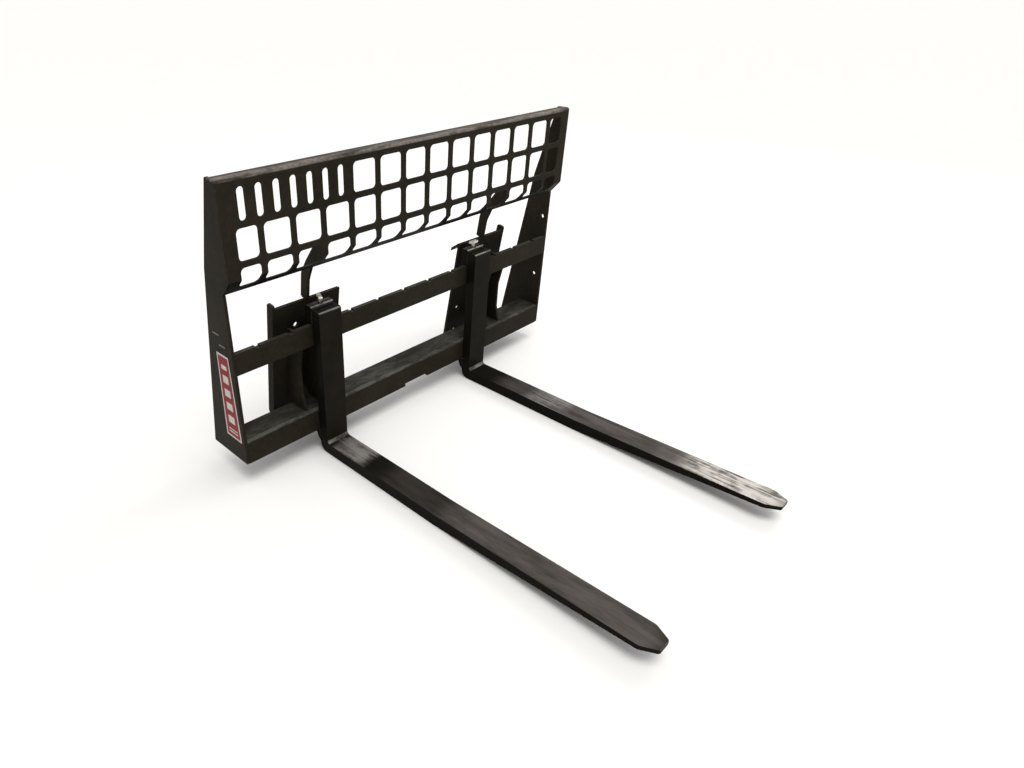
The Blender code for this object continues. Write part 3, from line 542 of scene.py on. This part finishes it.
def bead_rings(start, end, radius):
    """Rings of points along a bead, rippled and tapered at both ends."""
    start = Vector(start)
    along = Vector(end) - start
    length = along.length
    turn = along.to_track_quat("Z", "Y")
    count = max(4, round(length / BEAD_STEP))
    phase = rng.uniform(0, math.tau)
    rings = []
    for index in range(count + 1):
        travel = length * index / count
        from_end = min(travel, length - travel)
        taper = math.sqrt(min(1.0, 0.12 + from_end / (2 * radius)))
        ripple = 1 + 0.13 * math.sin(math.tau * travel / BEAD_RIPPLE + phase)
        size = radius * taper * ripple * rng.uniform(0.94, 1.06)
        wander = Vector((rng.uniform(-1, 1), rng.uniform(-1, 1), 0)) * radius * 0.07
        centre = start + along * index / count
        rings.append([
            centre + turn @ (wander + size * Vector((math.cos(spoke), math.sin(spoke), 0)))
            for spoke in (math.tau * side / BEAD_SIDES for side in range(BEAD_SIDES))
        ])
    return rings


def weld_beads(name, lines, material, body, radius):
    """One piece holding a bead along each (start, end) line."""
    vertices = []
    faces = []
    for start, end in lines:
        rings = bead_rings(start, end, radius)
        first = len(vertices)
        for ring in rings:
            vertices += ring
        for index in range(len(rings) - 1):
            for side in range(BEAD_SIDES):
                near = first + index * BEAD_SIDES + side
                beside = first + index * BEAD_SIDES + (side + 1) % BEAD_SIDES
                faces.append((near, beside, beside + BEAD_SIDES, near + BEAD_SIDES))
        last = first + (len(rings) - 1) * BEAD_SIDES
        faces.append(tuple(range(first + BEAD_SIDES - 1, first - 1, -1)))
        faces.append(tuple(range(last, last + BEAD_SIDES)))
    piece = add_mesh(name, vertices, faces, material, body)
    piece.data.shade_smooth()


def level_line(x, z, low_y, high_y, gaps):
    """A line along Y, from low_y to high_y less the gap at each end."""
    return (x, low_y + gaps[0], z), (x, high_y - gaps[1], z)


def upright_line(x, y, low_z, high_z, gaps):
    """A line along Z, from low_z to high_z less the gap at each end."""
    return (x, y, low_z + gaps[0]), (x, y, high_z - gaps[1])


def frame_welds(material):
    """Beads that join the side plates, bars, step plate, gussets and coupler plates."""
    step_low, step_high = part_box("step_plate")
    upper_low, upper_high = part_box("upper_carriage_bar")
    lower_low, lower_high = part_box("lower_carriage_bar")
    upper_front = upper_low.y + BEAD_SET_BACK
    lower_front = lower_low.y + BEAD_SET_BACK
    for side in ("left", "right"):
        plate_low, plate_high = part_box(f"side_plate_{side}")
        wall = plate_high.x if side == "left" else plate_low.x
        plate_lines = [
            level_line(wall, step_high.z, step_low.y, step_high.y, STEP_PLATE_GAPS),
            upright_line(wall, upper_high.y, upper_low.z, upper_high.z, UPPER_BACK_GAPS),
            upright_line(wall, lower_front, lower_low.z, lower_high.z, LOWER_FRONT_GAPS),
            upright_line(wall, upper_front, upper_low.z, upper_high.z, UPPER_FRONT_GAPS),
        ]
        weld_beads(f"side_plate_weld_{side}", plate_lines, material, "frame", PLATE_BEAD)

        rib_lines = []
        for rib in ("inner", "outer"):
            rib_low, rib_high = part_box(f"coupler_rib_{rib}_{side}")
            for face in (rib_low.x, rib_high.x):
                rib_lines.append(level_line(face, step_high.z, step_low.y, step_high.y, RIB_GAPS))
        weld_beads(f"rib_weld_{side}", rib_lines, material, "frame", BEAD_RADIUS)

        gusset_low, gusset_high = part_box(f"guard_gusset_{side}")
        web_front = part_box(f"coupler_web_{side}")[0].y
        start_y = web_front + BEAD_SET_BACK
        end_y = web_front + GUSSET_BEAD_END
        gusset_lines = [
            ((face, start_y, gusset_low.z), (face, end_y, gusset_low.z))
            for face in (gusset_low.x, gusset_high.x)
        ]
        weld_beads(f"gusset_weld_{side}", gusset_lines, material, "frame", PLATE_BEAD)


def fork_welds(material):
    """Beads that join the hooks to each shank: along its top, and down both sides."""
    for side in ("left", "right"):
        arm_low, arm_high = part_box(f"fork_arm_{side}")
        hook_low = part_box(f"upper_hook_{side}")[0]
        foot_low, foot_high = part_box(f"lower_hook_{side}")
        seam = hook_low.y - SEAM_GAP
        faces = (arm_low.x, arm_high.x)
        top_start = (arm_low.x + HOOK_TOP_GAP, seam, arm_high.z)
        top_end = (arm_high.x - HOOK_TOP_GAP, seam, arm_high.z)
        lines = [(top_start, top_end)]
        lines += [upright_line(face, seam, hook_low.z, arm_high.z, UPPER_HOOK_GAPS) for face in faces]
        lines += [upright_line(face, seam, foot_low.z, foot_high.z, LOWER_HOOK_GAPS) for face in faces]
        weld_beads(f"hook_weld_{side}", lines, material, f"{side}_fork", HOOK_BEAD)


def label_sheet(name, corners, thickness, material):
    """A thin sheet of vinyl on the left side plate; corners are (y, z) on its outer face."""
    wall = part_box("side_plate_left")[0].x
    cut = LABEL_CORNER
    outline = []
    for index, corner in enumerate(corners):
        here = Vector(corner)
        to_last = (Vector(corners[index - 1]) - here).normalized()
        to_next = (Vector(corners[(index + 1) % len(corners)]) - here).normalized()
        outline += [here + to_last * cut, here + (to_last + to_next) * cut * 0.3, here + to_next * cut]
    count = len(outline)
    inner = [(wall, point.x, point.y) for point in outline]
    outer = [(wall - thickness, point.x, point.y) for point in outline]
    faces = [tuple(range(count)), tuple(range(2 * count - 1, count - 1, -1))]
    faces += [
        (index, index + count, (index + 1) % count + count, (index + 1) % count)
        for index in range(count)
    ]
    add_mesh(name, inner + outer, faces, material, "frame")


def label_datum():
    """The (Y, Z) that the label and the tape are placed from: lower bar's front, plate's foot."""
    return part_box("lower_carriage_bar")[0].y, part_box("side_plate_left")[0].z


def label_point(across, up):
    """A point of the label, 0 to 1 from its front to its back and from its foot up."""
    datum_y, datum_z = label_datum()
    front = LABEL_FRONT[0] + (LABEL_FRONT[1] - LABEL_FRONT[0]) * up
    back = LABEL_BACK[0] + (LABEL_BACK[1] - LABEL_BACK[0]) * up
    y = datum_y + front + (back - front) * across
    z = datum_z + LABEL_FOOT + (LABEL_TOP - LABEL_FOOT) * up
    return y, z


def label_patch(patch):
    """The four corners of a patch, given as its shares across and up the label."""
    (front, back), (foot, top) = patch
    return [label_point(*shares) for shares in ((front, foot), (back, foot), (back, top), (front, top))]


def make_label(white, red):
    """A plain white label with a red field and plain white bars: nothing is written."""
    label_sheet("side_label_base", label_patch(LABEL_BASE), BASE_THICKNESS, white)
    label_sheet("side_label_field", label_patch(LABEL_FIELD), FIELD_THICKNESS, red)
    for index, bar in enumerate(LABEL_BARS):
        label_sheet(f"side_label_bar_{index + 1}", label_patch(bar), BAR_THICKNESS, white)


def make_tape(material):
    """Two short level strips above the label."""
    datum_y, datum_z = label_datum()
    half_long, half_high = TAPE_SIZE[0] / 2, TAPE_SIZE[1] / 2
    for name, (behind, above) in TAPE_PLACES.items():
        y = datum_y + behind
        z = datum_z + above
        corners = [(y - half_long, z - half_high), (y + half_long, z - half_high),
                   (y + half_long, z + half_high), (y - half_long, z + half_high)]
        label_sheet(f"tape_strip_{name}", corners, TAPE_THICKNESS, material)


# --- Studio -------------------------------------------------------------------------
def make_floor(height):
    mesh = bpy.data.meshes.new("floor")
    corners = [
        (x * FLOOR_REACH, y * FLOOR_REACH, height)
        for x, y in ((-1, -1), (1, -1), (1, 1), (-1, 1))
    ]
    mesh.from_pydata(corners, [], [(0, 1, 2, 3)])
    mesh.materials.append(make_floor_material())
    floor = bpy.data.objects.new("floor", mesh)
    bpy.context.scene.collection.objects.link(floor)


def make_lights():
    """A plain pale sky, a broad light from above and a softbox high on the right."""
    world = bpy.data.worlds.new("studio_world")
    world.use_nodes = True
    background = world.node_tree.nodes["Background"]
    background.inputs["Color"].default_value = SKY_COLOUR
    background.inputs["Strength"].default_value = SKY_STRENGTH
    bpy.context.scene.world = world

    sun = bpy.data.lights.new("overhead_softbox", "SUN")
    sun.energy = SUN_STRENGTH
    sun.angle = SUN_SPREAD
    sun.color = SUN_COLOUR
    lamp = bpy.data.objects.new("overhead_softbox", sun)
    lamp.rotation_euler = SUN_TILT
    bpy.context.scene.collection.objects.link(lamp)

    panel = bpy.data.lights.new("side_softbox", "AREA")
    panel.shape = "RECTANGLE"
    panel.size, panel.size_y = PANEL_SIZE
    panel.energy = PANEL_POWER
    panel.color = PANEL_COLOUR
    softbox = bpy.data.objects.new("side_softbox", panel)
    softbox.location = PANEL_PLACE
    aim = PANEL_TARGET - PANEL_PLACE
    softbox.rotation_euler = aim.to_track_quat("-Z", "Y").to_euler()
    softbox.visible_camera = False
    bpy.context.scene.collection.objects.link(softbox)


def make_camera():
    """The camera, placed from the front bottom edge of the lower carriage bar."""
    low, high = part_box("lower_carriage_bar")
    datum = Vector(((low.x + high.x) / 2, low.y, low.z))
    data = bpy.data.cameras.new("camera")
    data.lens = CAMERA_LENS
    data.sensor_width = CAMERA_SENSOR
    data.shift_x, data.shift_y = CAMERA_SHIFT
    camera = bpy.data.objects.new("camera", data)
    camera.location = datum + CAMERA_FROM_CARRIAGE
    camera.rotation_euler = (math.pi / 2 - CAMERA_DOWN, 0, CAMERA_TURN)
    bpy.context.scene.collection.objects.link(camera)
    bpy.context.scene.camera = camera
    bpy.context.scene.view_settings.view_transform = "Standard"


def dress_nodes(enamel, special_enamels, fork_enamels, zinc, spring_steel):
    """Dresses every CAD node, body by body."""
    group = smooth_group()
    bodies = frame["record"]["behaviour"]["bodies"]
    for node in bodies["frame"]:
        dress(node, special_enamels.get(node, enamel), PLATE_EDGE, group)
    for side in ("left", "right"):
        for node in bodies[f"{side}_fork"]:
            if node.startswith("lock_spring"):
                dress(node, spring_steel, WIRE_EDGE, group)
            elif node.startswith("lock_bush"):
                dress(node, fork_enamels[side], SMALL_EDGE, group)
            else:
                dress(node, fork_enamels[side], FORK_EDGE, group)
        for node in bodies[f"{side}_lock"]:
            dress(node, zinc, SMALL_EDGE, group)


# --- The scene ----------------------------------------------------------------------
heel_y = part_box("lower_carriage_bar")[0].y - HEEL_BEFORE_BAR
guard_low, guard_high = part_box("brick_guard")
flange = (guard_low.y + FLANGE_DEPTH, guard_high.z - FLANGE_ZONE)
enamel = make_enamel("black_enamel")
special_enamels = {
    "brick_guard": make_enamel("guard_enamel_with_highlight", flange=flange),
    # The lower bar's top is painted with a highlight along its rounded top edge, together with its
    # scuffs.
    "lower_carriage_bar": make_enamel("lower_bar_enamel_with_highlight", top_scuff_and_light_scale=LOWER_BAR_TOP_HIGHLIGHT),
}
weld_enamel = make_enamel("weld_enamel", dust=0.7, chips=0.6)
fork_enamels = {
    side: make_fork_enamel(f"fork_enamel_{side}", heel_y, polished, scraped)
    for side, (polished, scraped) in FORK_SHEEN_AND_WEAR.items()
}

dress_nodes(enamel, special_enamels, fork_enamels, make_zinc(), make_spring_steel())
frame_welds(weld_enamel)
fork_welds(weld_enamel)
make_label(make_vinyl("white_vinyl", LABEL_WHITE), make_vinyl("red_vinyl", LABEL_RED))
make_tape(make_vinyl("tape_vinyl", TAPE_GREY))
make_floor(cad_box[0].z - FLOOR_GAP)
make_lights()
make_camera()
